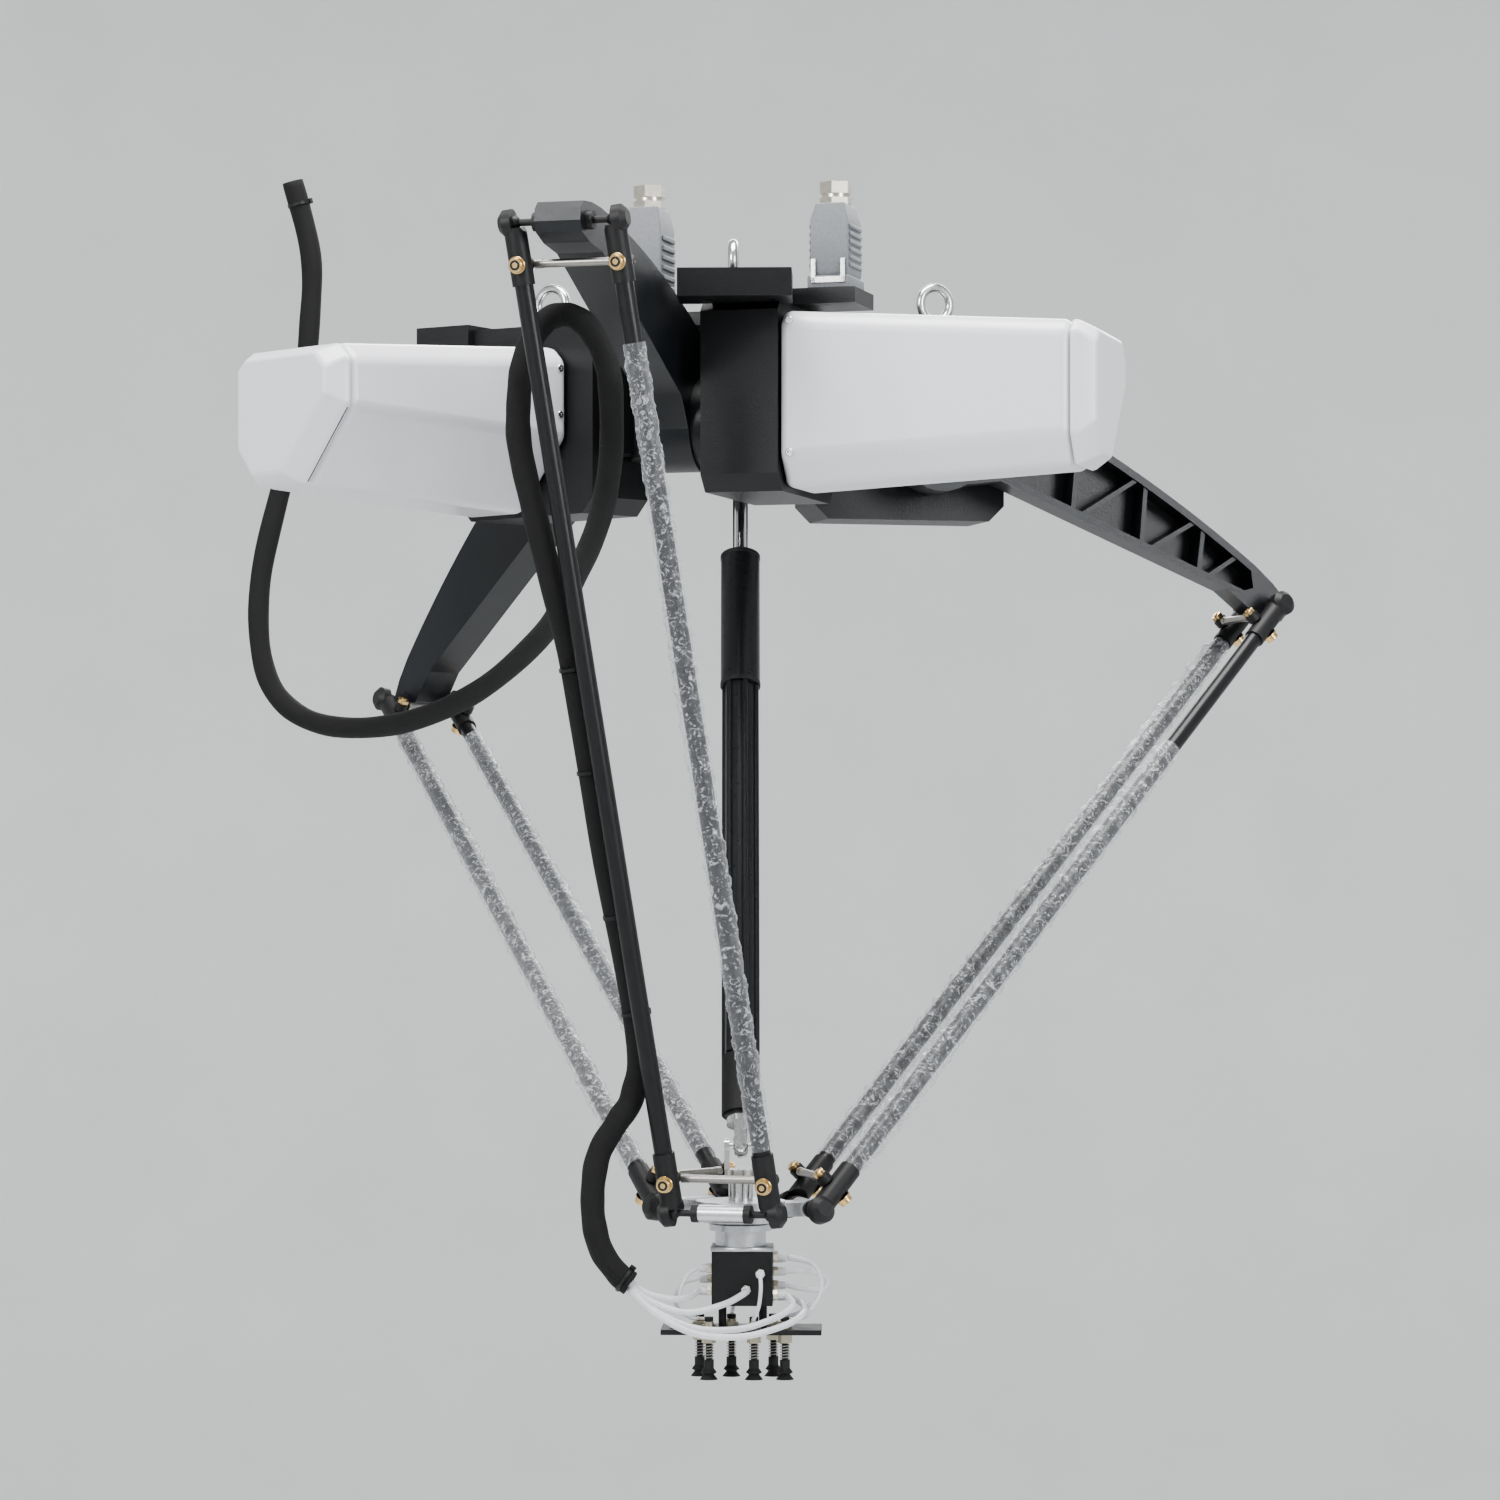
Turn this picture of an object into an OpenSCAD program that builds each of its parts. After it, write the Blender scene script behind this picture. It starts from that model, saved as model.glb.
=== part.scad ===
// Hanging three-arm delta robot with a telescopic drive shaft and a vacuum gripper.
// Millimetres. +Z is up and -Y is the front.
// The origin is the centre of the mounting plane on top of the three lugs.

/* [Linkage] */
// Robot axis to each shoulder axis
shoulder_r = 222; // [215:1:230]
// Shoulder axis to elbow
upper_len = 415; // [405:1:425]
// Elbow ball centre to platform ball centre
forearm_len = 970; // [960:1:980]
// Platform centre to each of its ball lines
platform_r = 66; // [64:1:70]
// Distance between the two rods of a pair
rod_spacing = 100; // [98:1:104]
// Forearm tube radius
rod_r = 9; // [8:0.5:9]

/* [Resting place of the platform] */
// Platform centre to the right of the robot axis
platform_x = 12; // [8:1:16]
// Platform centre behind the robot axis
platform_y = -405; // [-410:1:-400]
// Platform centre above the shoulder plane
platform_z = -793; // [-798:1:-788]

/* [Base] */
// Mounting plane above the shoulder plane
plane_z = 140; // [140:1:145]
// Lug thickness
lug_t = 28; // [24:1:30]
// Radius of a mounting hole for an M12 bolt
lug_hole_r = 6.75; // [6.5:0.25:7]
// Motor cover length along the shoulder axis
cover_len = 324; // [300:1:330]

/* [Gripper] */
// Tool plate thickness
tool_t = 5; // [4:1:6]
// Suction cup lip radius
cup_lip_r = 9; // [7:0.5:10]

/* [Hose] */
// Radius of the braided hose
hose_r = 12; // [9:0.5:12]

/* [Hidden] */
$fn = 48;
arm_angles = [-104.4, 135.6, 15.6];
shaft_top_z = 60;
shaft_foot_z = 62;
half = rod_spacing / 2;
arm_half = 23;
flange_end = 39.7;
block_in = 48;
block_out = 129;
plat = [platform_x, platform_y, platform_z];
pivot_top = [0, 0, shaft_top_z];
pivot_foot = plat + [0, 0, shaft_foot_z];
shaft_len = norm(pivot_foot - pivot_top);
link_at_top = 40;
link_at_foot = 31;
link_off = 16;
lug_turn = 14.4;
block_low = -77;
block_top = 115;
lug_low = block_top + 0.3;
plate_high = 131;
plate_low = lug_low;
hood_h = 88;
hood_low_h = 112;
ball_r = 7;
top_socket_r = ball_r + 0.2;
foot_socket_r = 10.4;
collar_at = 213;
collar_end = 368;
yoke_room = 30;
plate_z = -117;
// Centre of each suction cup from the platform centre
cups = [[-41, 14], [-31, -16], [-9.5, 12], [13.5, -16], [32, 14], [44, -14]];

function ahead(a) = platform_x * cos(a) + platform_y * sin(a);
function aside(a) = -platform_x * sin(a) + platform_y * cos(a);
function foot(a) = [ahead(a) + platform_r, aside(a), platform_z];
function reach(a) = norm([foot(a).x - shoulder_r, foot(a).z]);
function swing(a) =
  atan2(-foot(a).z, foot(a).x - shoulder_r)
  - acos((pow(reach(a), 2) + pow(foot(a).y, 2) + pow(upper_len, 2) - pow(forearm_len, 2))
         / (2 * upper_len * reach(a)));
function elbow(a) = [shoulder_r + upper_len * cos(swing(a)), 0, -upper_len * sin(swing(a))];
function unit(v) = v / norm(v);
function along(a) = unit(foot(a) - elbow(a));
function across(a) = unit([0, 1, 0] - along(a).y * along(a));
function outward(a) = cross(along(a), across(a));
function arm_top(x) = 84 - 0.00035 * x * x;
function lerp(p, q, t) = p + (q - p) * t;

// Places its children in the frame of one arm: x outwards, y along the shoulder axis.
module in_unit(a) translate([0, 0, -plane_z]) rotate([0, 0, a]) children();
module at_shoulder(a) in_unit(a) translate([shoulder_r, 0, 0]) rotate([0, swing(a), 0]) children();

// Columns u, n, d of a rotation at point p.
module framed(p, u, n, d)
  multmatrix([[u.x, n.x, d.x, p.x], [u.y, n.y, d.y, p.y], [u.z, n.z, d.z, p.z], [0, 0, 0, 1]]) children();

// z runs down the rod, x across the pair, y faces away from the robot axis.
module at_rod(a, s)
  in_unit(a) framed(elbow(a) + [0, s * half, 0], across(a), outward(a), along(a)) children();

// z runs down the drive shaft from its upper pivot, x stays level.
module at_shaft() {
  d = unit(pivot_foot - pivot_top);
  u = unit(cross([0, -1, 0], d));
  translate([0, 0, -plane_z]) framed(pivot_top, u, cross(d, u), d) children();
}

module at_platform() translate(plat - [0, 0, plane_z]) children();
module along_y(y) translate([0, y, 0]) rotate([-90, 0, 0]) children();

// ---- Base ----

module gearbox_outline() {
  polygon([[95, block_low + 17], [112, block_low], [296, block_low], [313, block_low + 17],
           [313, block_top - 10], [303, block_top], [95, block_top]]);
}

module gearbox(a) color([0.05, 0.05, 0.055]) in_unit(a) {
  difference() {
    translate([0, block_out, 0]) rotate([90, 0, 0]) linear_extrude(block_out - block_in) gearbox_outline();
    translate([shoulder_r, 0, 0]) along_y(block_in - 1) cylinder(r = 40, h = 20);
  }
  translate([shoulder_r, 0, 0]) along_y(40) difference() {
    cylinder(r = 50, h = 8);
    translate([0, 0, -1]) cylinder(r = 40, h = 10);
  }
}

module lug_frame(a) in_unit(a + lug_turn) children();

module casting() difference() {
  union() {
    translate([0, 0, -20 - plane_z]) cylinder(r = 118, h = 138, $fn = 96);
    for (a = arm_angles) {
      lug_frame(a) translate([40, -20, lug_low]) cube([290, 70, plane_z - lug_low - 5]);
      lug_frame(a) translate([315, -52, plane_z - lug_t]) cube([70, 114, lug_t]);
      in_unit(a) translate([60, 52, -15]) cube([34.7, 68, 112]);
    }
  }
  translate([0, 0, -21 - plane_z]) cylinder(r = 85, h = 101, $fn = 96);
  for (a = arm_angles) in_unit(a)
    translate([94.7, block_in - 0.3, block_low]) cube([219, block_out - block_in + 0.6, lug_low - block_low]);
  for (a = arm_angles) lug_frame(a) {
    translate([350, -24, 100]) cylinder(r = lug_hole_r, h = 50);
    translate([350, 38, 100]) cylinder(r = lug_hole_r, h = 50);
    translate([245, 0, 118]) cylinder(r = 6, h = 50);
  }
}

module drive_socket() translate([0, 0, -plane_z]) difference() {
  translate([0, 0, shaft_top_z - 4]) cylinder(r = 24, h = 25);
  translate(pivot_top) sphere(r = 14.4);
}

module base_casting() color([0.06, 0.06, 0.065]) {
  casting();
  drive_socket();
}

module cover_section(y, r0, r1, z0, z1) translate([0, y, 0]) rotate([90, 0, 0]) linear_extrude(1)
  polygon([[r1 - 14, z1], [r1, z1 - 12], [r1, z0 + 30], [r1 - 24, z0], [r0 + 70, z0],
           [r0, z0 + 78], [r0, z1 - 16], [r0 + 18, z1]]);

module cover(a) color([0.9, 0.9, 0.92]) in_unit(a) {
  hull() {
    cover_section(block_out + 1.3, 133, 313, -75, 106);
    cover_section(block_out + cover_len - 26, 136, 310, -58, 88);
  }
  hull() {
    cover_section(block_out + cover_len - 26, 136, 310, -58, 88);
    cover_section(block_out + cover_len, 150, 298, -46, 78);
  }
}

module connector_plates() color([0.07, 0.07, 0.075]) in_unit(arm_angles[0]) {
  translate([186, 122, block_top]) cube([76, 74, plate_high - block_top]);
  translate([165, -66, plate_low - 14]) cube([60, 113, 14]);
}

module hood_body(l, w, h) {
  cube([l, w, h * 0.16]);
  translate([3, 3, h * 0.16]) cube([l - 6, w - 6, h * 0.62]);
  translate([6, 6, h * 0.78]) cube([l - 12, w - 12, h * 0.22]);
}

module at_hood(i) in_unit(arm_angles[0])
  translate(i == 0 ? [193, 144, plate_high] : [167, -64, plate_low]) children();

module hoods() color([0.42, 0.43, 0.45]) {
  at_hood(0) hood_body(62, 44, hood_h);
  at_hood(1) hood_body(56, 44, hood_low_h);
}

module gland() {
  cylinder(r = 17, h = 7, $fn = 6);
  translate([0, 0, 7]) cylinder(r = 14, h = 4);
  translate([0, 0, 11]) cylinder(r = 17, h = 12, $fn = 6);
}

module glands() color([0.72, 0.7, 0.64]) {
  at_hood(0) translate([31, 22, hood_h]) gland();
  at_hood(1) translate([28, 22, hood_low_h]) gland();
}

module lifting_eyes() color([0.75, 0.75, 0.74]) for (a = arm_angles) lug_frame(a) translate([245, 0, 135]) {
  cylinder(r = 12, h = 7);
  translate([0, 0, -14]) cylinder(r = 5.9, h = 14);
  translate([0, 0, 28]) rotate([90, 0, 0]) rotate_extrude() translate([18.5, 0]) circle(r = 5, $fn = 20);
}

// ---- Arms ----

module arm_outline() {
  top = [for (x = [40:20:380]) [x, arm_top(x)]];
  polygon(concat([[-35, 27], [-24, 60], [6, 80]], top,
                 [[407, 24], [431, 12], [436, 2], [433, -10], [424, -17], [400, -15], [361, -4]],
                 [[75, -8], [31, -34]]));
}

module arm_pocket() {
  top = [for (x = [78:20:378]) [x, arm_top(x) - 8]];
  polygon(concat(top, [[388, 10], [380, 3], [78, 1]]));
}

module rib(p, q) translate([p.x, 0, p.y]) rotate([0, -atan2(q.y - p.y, q.x - p.x), 0])
  translate([0, -20, -2.5]) cube([norm(q - p), 35, 5]);

module arm(a) color([0.07, 0.07, 0.075]) at_shoulder(a) {
  difference() {
    union() {
      translate([0, arm_half, 0]) rotate([90, 0, 0]) linear_extrude(2 * arm_half) arm_outline();
      along_y(-arm_half) cylinder(r = 50, h = 2 * arm_half);
      along_y(arm_half - 1) cylinder(r = 46, h = flange_end - arm_half + 1);
    }
    translate([0, 13, 0]) rotate([90, 0, 0]) linear_extrude(50) arm_pocket();
    along_y(-arm_half - 1) cylinder(r = 30, h = 9);
  }
  bottom = [[84, -1], [175, -1], [262, -1], [335, -1]];
  tops = [[128, 74], [218, 63], [298, 49], [358, 35]];
  for (i = [0:3]) rib(bottom[i], tops[i]);
  for (i = [0:2]) rib(bottom[i + 1] - [11, 0], tops[i] + [11, -3]);
}

module hub_cap(a) color([0.35, 0.35, 0.36]) at_shoulder(a) {
  along_y(-arm_half - 3) cylinder(r = 29.5, h = 11);
  for (i = [0:7]) rotate([0, i * 45, 0])
    translate([22, 0, 0]) along_y(-arm_half - 6) cylinder(r = 3.5, h = 4);
}

module ball_stud(s) {
  translate([0, s * half, 0]) sphere(r = ball_r);
  along_y(s > 0 ? arm_half : -half) cylinder(r = 3.5, h = half - arm_half);
  along_y(s > 0 ? arm_half : -arm_half - 7) cylinder(r = 9, h = 7);
}

module elbow_studs(a) color([0.16, 0.16, 0.17]) in_unit(a) translate(elbow(a)) {
  ball_stud(1);
  ball_stud(-1);
}

// ---- Forearm rods ----

module rod_tube(a, s) color([0.09, 0.09, 0.1]) at_rod(a, s) translate([0, 0, 44]) difference() {
  cylinder(r = rod_r, h = forearm_len - 88);
  translate([0, 0, -1]) cylinder(r = rod_r - 1.5, h = forearm_len - 86);
}

// Ball cup open towards the middle of the pair, its stem, and the through bolt with the eye of the link.
module rod_end(s, face, bolt_at, socket_r) {
  difference() {
    union() {
      rotate([0, s * 90, 0]) cylinder(r = 13.5, h = 9);
      rotate([0, s * 90, 0]) translate([0, 0, 9]) cylinder(r1 = 13.5, r2 = 8, h = 5);
      translate([0, 0, 5]) cylinder(r = 11, h = 55);
    }
    sphere(r = socket_r);
    rotate([0, -s * 90, 0]) cylinder(r1 = socket_r, r2 = socket_r + 5, h = 16);
    translate([0, 0, 44]) cylinder(r = rod_r + 0.1, h = 20);
    translate([0, 0, bolt_at]) rotate([90, 0, 0]) translate([0, 0, -20]) cylinder(r = 3, h = 40);
  }
  translate([0, 0, bolt_at]) scale([1, face, 1]) {
    along_y(10.5) cylinder(r = 8, h = 1.5);
    along_y(12) cylinder(r = 6.5, h = 5, $fn = 6);
    along_y(-20) cylinder(r = 7.5, h = 8.5);
    along_y(-25) cylinder(r = 6, h = 5, $fn = 6);
    along_y(-24) cylinder(r = 2.9, h = 38);
  }
}

module rod_ends(a, s, foot_r) color([0.1, 0.1, 0.1]) at_rod(a, s) {
  rod_end(s, 1, link_at_top, top_socket_r);
  translate([0, 0, forearm_len]) rotate([180, 0, 0]) rod_end(s, -1, link_at_foot, foot_r);
}

// Spring bar between the two eyes of a pair, at distance d below the elbow balls.
module link(a, d) color([0.45, 0.45, 0.44]) in_unit(a)
  translate(elbow(a) + along(a) * d - outward(a) * link_off) along_y(-half + 9.4) {
    cylinder(r = 4.5, h = 8);
    translate([0, 0, 8]) cylinder(r = 4, h = rod_spacing - 34.8);
    translate([0, 0, rod_spacing - 26.8]) cylinder(r = 4.5, h = 8);
  }

module link_top(a) link(a, link_at_top);
module link_foot(a) link(a, forearm_len - link_at_foot);

module links_a() {
  link_top(arm_angles[0]);
  link_foot(arm_angles[0]);
}

// ---- Drive shaft ----

module drive_ball() color([0.3, 0.3, 0.32]) at_shaft() difference() {
  sphere(r = 14);
  translate([0, 0, -20]) cylinder(r = 8.4, h = 40);
}

module drive_shaft() color([0.8, 0.8, 0.82]) at_shaft() translate([0, 0, -9]) cylinder(r = 8.1, h = 354);

module drive_tube() color([0.08, 0.08, 0.085]) at_shaft() difference() {
  union() {
    translate([0, 0, collar_at]) cylinder(r = 20.5, h = collar_end - collar_at);
    translate([0, 0, collar_end]) cylinder(r = 16, h = shaft_len - collar_end - yoke_room);
  }
  translate([0, 0, collar_at - 1]) cylinder(r = 14.2, h = shaft_len - collar_at - yoke_room + 1);
}

module drive_yoke() color([0.75, 0.75, 0.74]) at_shaft() translate([0, 0, shaft_len]) {
  for (s = [-1, 1]) {
    translate([-6, s > 0 ? 11 : -16, -22.5]) cube([12, 5, 22.5]);
    along_y(s > 0 ? 11 : -16) cylinder(r = 7, h = 5);
    along_y(s > 0 ? 9 : -11.5) cylinder(r = 3, h = 2.5);
  }
  translate([0, 0, -29.9]) cylinder(r = 14, h = 8);
}

module drive_boot() color([0.09, 0.09, 0.09]) at_shaft() translate([0, 0, shaft_len - 95]) difference() {
  cylinder(r = 19, h = 62);
  translate([0, 0, -1]) cylinder(r = 16.3, h = 64);
}

// ---- Platform and gripper ----

module platform() color([0.72, 0.73, 0.74]) at_platform() difference() {
  union() {
    translate([0, 0, -12]) cylinder(r = 44, h = 20);
    for (a = arm_angles) rotate([0, 0, a]) {
      translate([30, -16, -8]) cube([36, 32, 14]);
      translate([platform_r, 0, 0]) along_y(-arm_half) cylinder(r = 8.5, h = 2 * arm_half);
    }
  }
  translate([0, 0, -13]) cylinder(r = 12.3, h = 30);
}

module platform_studs() color([0.15, 0.15, 0.16]) at_platform() for (a = arm_angles)
  rotate([0, 0, a]) translate([platform_r, 0, 0]) {
    ball_stud(1);
    ball_stud(-1);
  }

module tool_spindle() color([0.75, 0.75, 0.74]) at_platform() {
  translate([0, 0, -14.9]) cylinder(r = 12, h = 44.9);
  translate([0, 0, shaft_foot_z - 32]) cylinder(r = 16, h = 9);
  translate([0, 0, shaft_foot_z]) sphere(r = 8);
  for (s = [-1, 1]) {
    translate([s > 0 ? 11 : -16, -6, shaft_foot_z - 24]) cube([5, 12, 24]);
    translate([s > 0 ? 11 : -16, 0, shaft_foot_z]) rotate([0, 90, 0]) cylinder(r = 7, h = 5);
  }
  translate([-12, 0, shaft_foot_z]) rotate([0, 90, 0]) cylinder(r = 3, h = 24);
}

module tool_flange() color([0.7, 0.71, 0.72]) at_platform() translate([0, 0, -21]) {
  cylinder(r = 31, h = 6);
  translate([0, 0, -15]) cylinder(r = 25, h = 15);
}

module manifold() color([0.05, 0.05, 0.055]) at_platform()
  translate([-28, -24, -94]) cube([60, 48, 58]);

module tool_plate() color([0.06, 0.06, 0.06]) at_platform() translate([0, 0, plate_z]) {
  difference() {
    translate([-78, -30, -tool_t]) cube([158, 60, tool_t]);
    for (p = cups) translate([p.x, p.y, -tool_t - 1]) cylinder(r = 5.1, h = tool_t + 2);
    for (y = [-18, 18]) translate([-66, y, -tool_t - 1]) cylinder(r = 4, h = tool_t + 2);
  }
  for (x = [-18, 22]) translate([x, 0, -1]) cylinder(r = 4, h = 23.9);
}

module cup_guide() difference() {
  union() {
    translate([0, 0, -tool_t - 4]) cylinder(r = 5, h = 16);
    translate([0, 0, 0.1]) cylinder(r = 7, h = 4, $fn = 6);
    translate([0, 0, -tool_t - 9]) cylinder(r = 7, h = 8.9, $fn = 6);
  }
  translate([0, 0, -16]) cylinder(r = 3.1, h = 30);
}

module cup_guides() color([0.7, 0.66, 0.5]) at_platform()
  for (p = cups) translate([p.x, p.y, plate_z]) cup_guide();

module cup(i) color([0.08, 0.08, 0.08]) at_platform() translate([cups[i].x, cups[i].y, plate_z - 50]) {
  difference() {
    union() {
      cylinder(r1 = cup_lip_r, r2 = 5, h = 5);
      translate([0, 0, 5]) cylinder(r1 = 5, r2 = cup_lip_r - 1, h = 2);
      translate([0, 0, 7]) cylinder(r1 = cup_lip_r - 1, r2 = 5, h = 4);
      translate([0, 0, 11]) cylinder(r = 5, h = 8);
      translate([0, 0, 19]) cylinder(r = 3, h = 40);
    }
    translate([0, 0, -0.1]) cylinder(r1 = cup_lip_r - 1, r2 = 2, h = 4.5);
  }
  translate([0, 0, 57.5]) cylinder(r = 4.5, h = 4);
}

// ---- Hose ----

// Hand-chosen points above the shoulder plane, from the upper end to the gripper.
hose_route = [
  [-524, 300, 328], [-504, 308, 244], [-506, 312, 164], [-515, 312, 76], [-535, 306, -11],
  [-560, 296, -127], [-558, 284, -216], [-532, 266, -271], [-475, 232, -300], [-385, 165, -299],
  [-290, 60, -267], [-206, -90, -210], [-163, -230, -158], [-131, -360, -110], [-114, -450, -55],
  [-111, -500, 5], [-116, -506, 36], [-129, -511, 62], [-143, -514, 75], [-158, -515, 78],
  [-173, -516, 72], [-187, -518, 52], [-196, -520, 22], [-199, -521, -12], [-198, -523, -46],
  [-188, -524, -95], [-172, -520, -160], [-148, -504, -263], [-121, -482, -429], [-88, -457, -615],
  [-92, -452, -677], [-107, -458, -704], [-124, -465, -733], [-130, -472, -766], [-129, -476, -800],
  [-121, -478, -829], [-104, -479, -852], [-93, -480, -860]];
hose_steps = 3;
loop_start = 19;
rod_start = 27;
tail_start = 29;

// Smooth path through points, Catmull-Rom, with k steps in each span.
function spline(p, k) = let(n = len(p)) concat([for (i = [0:n - 2]) for (j = [0:k - 1])
  let(t = j / k, a = p[max(i - 1, 0)], b = p[i], c = p[i + 1], d = p[min(i + 2, n - 1)])
  0.5 * (2 * b + (c - a) * t + (2 * a - 5 * b + 4 * c - d) * t * t + (3 * b - a - 3 * c + d) * t * t * t)],
  [p[n - 1]]);

hose_path = spline(hose_route, hose_steps);

function hose_dir(i) = unit(hose_path[min(i + 1, len(hose_path) - 1)] - hose_path[max(i - 1, 0)]);
function hose_side(i) = unit(cross(hose_dir(i), [0.2, 0.95, 0.3]));

// The hose between two of its hand-chosen points. Neighbouring pieces share their end ring.
module hose(first, last) {
  m = 12;
  from = first * hose_steps;
  to = last * hose_steps;
  rings = [for (i = [from:to]) for (j = [0:m - 1]) let(t = j * 360 / m)
    hose_path[i] + hose_r * (cos(t) * hose_side(i) + sin(t) * cross(hose_dir(i), hose_side(i)))];
  walls = [for (i = [0:to - from - 1]) for (j = [0:m - 1]) each
    [[(i + 1) * m + j, i * m + (j + 1) % m, i * m + j],
     [(i + 1) * m + j, (i + 1) * m + (j + 1) % m, i * m + (j + 1) % m]]];
  start = [for (j = [0:m - 1]) j];
  end = [for (j = [m - 1:-1:0]) (to - from) * m + j];
  color([0.05, 0.05, 0.05]) translate([0, 0, -plane_z])
    polyhedron(points = rings, faces = concat(walls, [start, end]));
}

module hose_feed() hose(0, loop_start);
module hose_loop() hose(loop_start, rod_start);
module hose_rod() hose(rod_start, tail_start);
module hose_tail() hose(tail_start, len(hose_route) - 1);

base_casting();
gearbox(arm_angles[0]);  // gearbox_a
gearbox(arm_angles[1]);  // gearbox_b
gearbox(arm_angles[2]);  // gearbox_c
cover(arm_angles[0]);  // cover_a
cover(arm_angles[1]);  // cover_b
cover(arm_angles[2]);  // cover_c
connector_plates();
hoods();
glands();
lifting_eyes();
arm(arm_angles[0]);  // arm_a
arm(arm_angles[1]);  // arm_b
arm(arm_angles[2]);  // arm_c
hub_cap(arm_angles[0]);  // hub_cap_a
hub_cap(arm_angles[1]);  // hub_cap_b
hub_cap(arm_angles[2]);  // hub_cap_c
elbow_studs(arm_angles[0]);  // studs_a
elbow_studs(arm_angles[1]);  // studs_b
elbow_studs(arm_angles[2]);  // studs_c
rod_tube(arm_angles[0], -1);  // rod_a1
rod_tube(arm_angles[0], 1);  // rod_a2
rod_ends(arm_angles[0], -1, top_socket_r);  // rod_ends_a1
rod_ends(arm_angles[0], 1, top_socket_r);  // rod_ends_a2
links_a();
rod_tube(arm_angles[1], -1);  // rod_b1
rod_tube(arm_angles[1], 1);  // rod_b2
rod_ends(arm_angles[1], -1, foot_socket_r);  // rod_ends_b1
rod_ends(arm_angles[1], 1, foot_socket_r);  // rod_ends_b2
link_top(arm_angles[1]);  // link_b_top
link_foot(arm_angles[1]);  // link_b_foot
rod_tube(arm_angles[2], -1);  // rod_c1
rod_tube(arm_angles[2], 1);  // rod_c2
rod_ends(arm_angles[2], -1, foot_socket_r);  // rod_ends_c1
rod_ends(arm_angles[2], 1, foot_socket_r);  // rod_ends_c2
link_top(arm_angles[2]);  // link_c_top
link_foot(arm_angles[2]);  // link_c_foot
drive_ball();
drive_shaft();
drive_tube();
drive_yoke();
drive_boot();
platform();
platform_studs();
tool_spindle();
tool_flange();
manifold();
tool_plate();
cup_guides();
cup(0);  // cup_1
cup(1);  // cup_2
cup(2);  // cup_3
cup(3);  // cup_4
cup(4);  // cup_5
cup(5);  // cup_6
hose_feed();
hose_loop();
hose_rod();
hose_tail();
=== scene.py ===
"""Looks of a hanging delta robot: materials, rounded covers, rod film, hose, air tubes, light and camera."""
import math

import bmesh
import bpy
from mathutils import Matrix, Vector


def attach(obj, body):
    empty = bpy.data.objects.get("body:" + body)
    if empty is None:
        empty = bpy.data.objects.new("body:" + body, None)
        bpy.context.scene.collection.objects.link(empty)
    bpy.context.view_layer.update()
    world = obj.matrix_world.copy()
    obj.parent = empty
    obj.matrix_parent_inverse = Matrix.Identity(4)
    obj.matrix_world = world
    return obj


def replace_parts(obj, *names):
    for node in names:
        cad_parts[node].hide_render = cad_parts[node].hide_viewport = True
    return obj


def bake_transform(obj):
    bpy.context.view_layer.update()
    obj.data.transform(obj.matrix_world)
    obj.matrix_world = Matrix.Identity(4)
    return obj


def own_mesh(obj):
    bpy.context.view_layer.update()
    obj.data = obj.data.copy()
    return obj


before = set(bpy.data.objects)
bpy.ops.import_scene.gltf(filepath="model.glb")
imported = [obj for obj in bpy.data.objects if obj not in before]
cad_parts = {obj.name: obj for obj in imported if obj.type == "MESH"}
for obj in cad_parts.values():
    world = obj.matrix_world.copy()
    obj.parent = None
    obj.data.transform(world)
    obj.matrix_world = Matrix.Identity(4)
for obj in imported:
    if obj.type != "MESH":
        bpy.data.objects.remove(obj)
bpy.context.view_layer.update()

MM = 0.001

# Lengths are in millimetres and heights count from the plane of the shoulder axes.
PLANE = 140.0  # height of the mounting plane, where the row frame has its origin
SHOULDER_R = 222.0  # robot axis to each shoulder axis
UPPER = 415.0  # shoulder axis to elbow
FOREARM = 970.0  # elbow ball to platform ball
PLATFORM_R = 66.0  # platform centre to each pair of balls
HALF = 50.0  # half the distance between the rods of a pair
ARMS = {"a": -104.4, "b": 135.6, "c": 15.6}  # degrees: front, left rear and right rear
PLATFORM = Vector((12.0, -405.0, -793.0))  # its centre at rest
DRIVE_TOP = Vector((0.0, 0.0, 60.0))
DRIVE_FOOT = PLATFORM + Vector((0.0, 0.0, 62.0))

LEFT, RIGHT = Vector((-1, 0, 0)), Vector((1, 0, 0))
FRONT, REAR = Vector((0, -1, 0)), Vector((0, 1, 0))
UP, DOWN = Vector((0, 0, 1)), Vector((0, 0, -1))


# ---- Places ----

def row(p):
    """A point in millimetres above the shoulder plane, as metres in the row frame."""
    return Vector((p[0], p[1], p[2] - PLANE)) * MM


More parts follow.
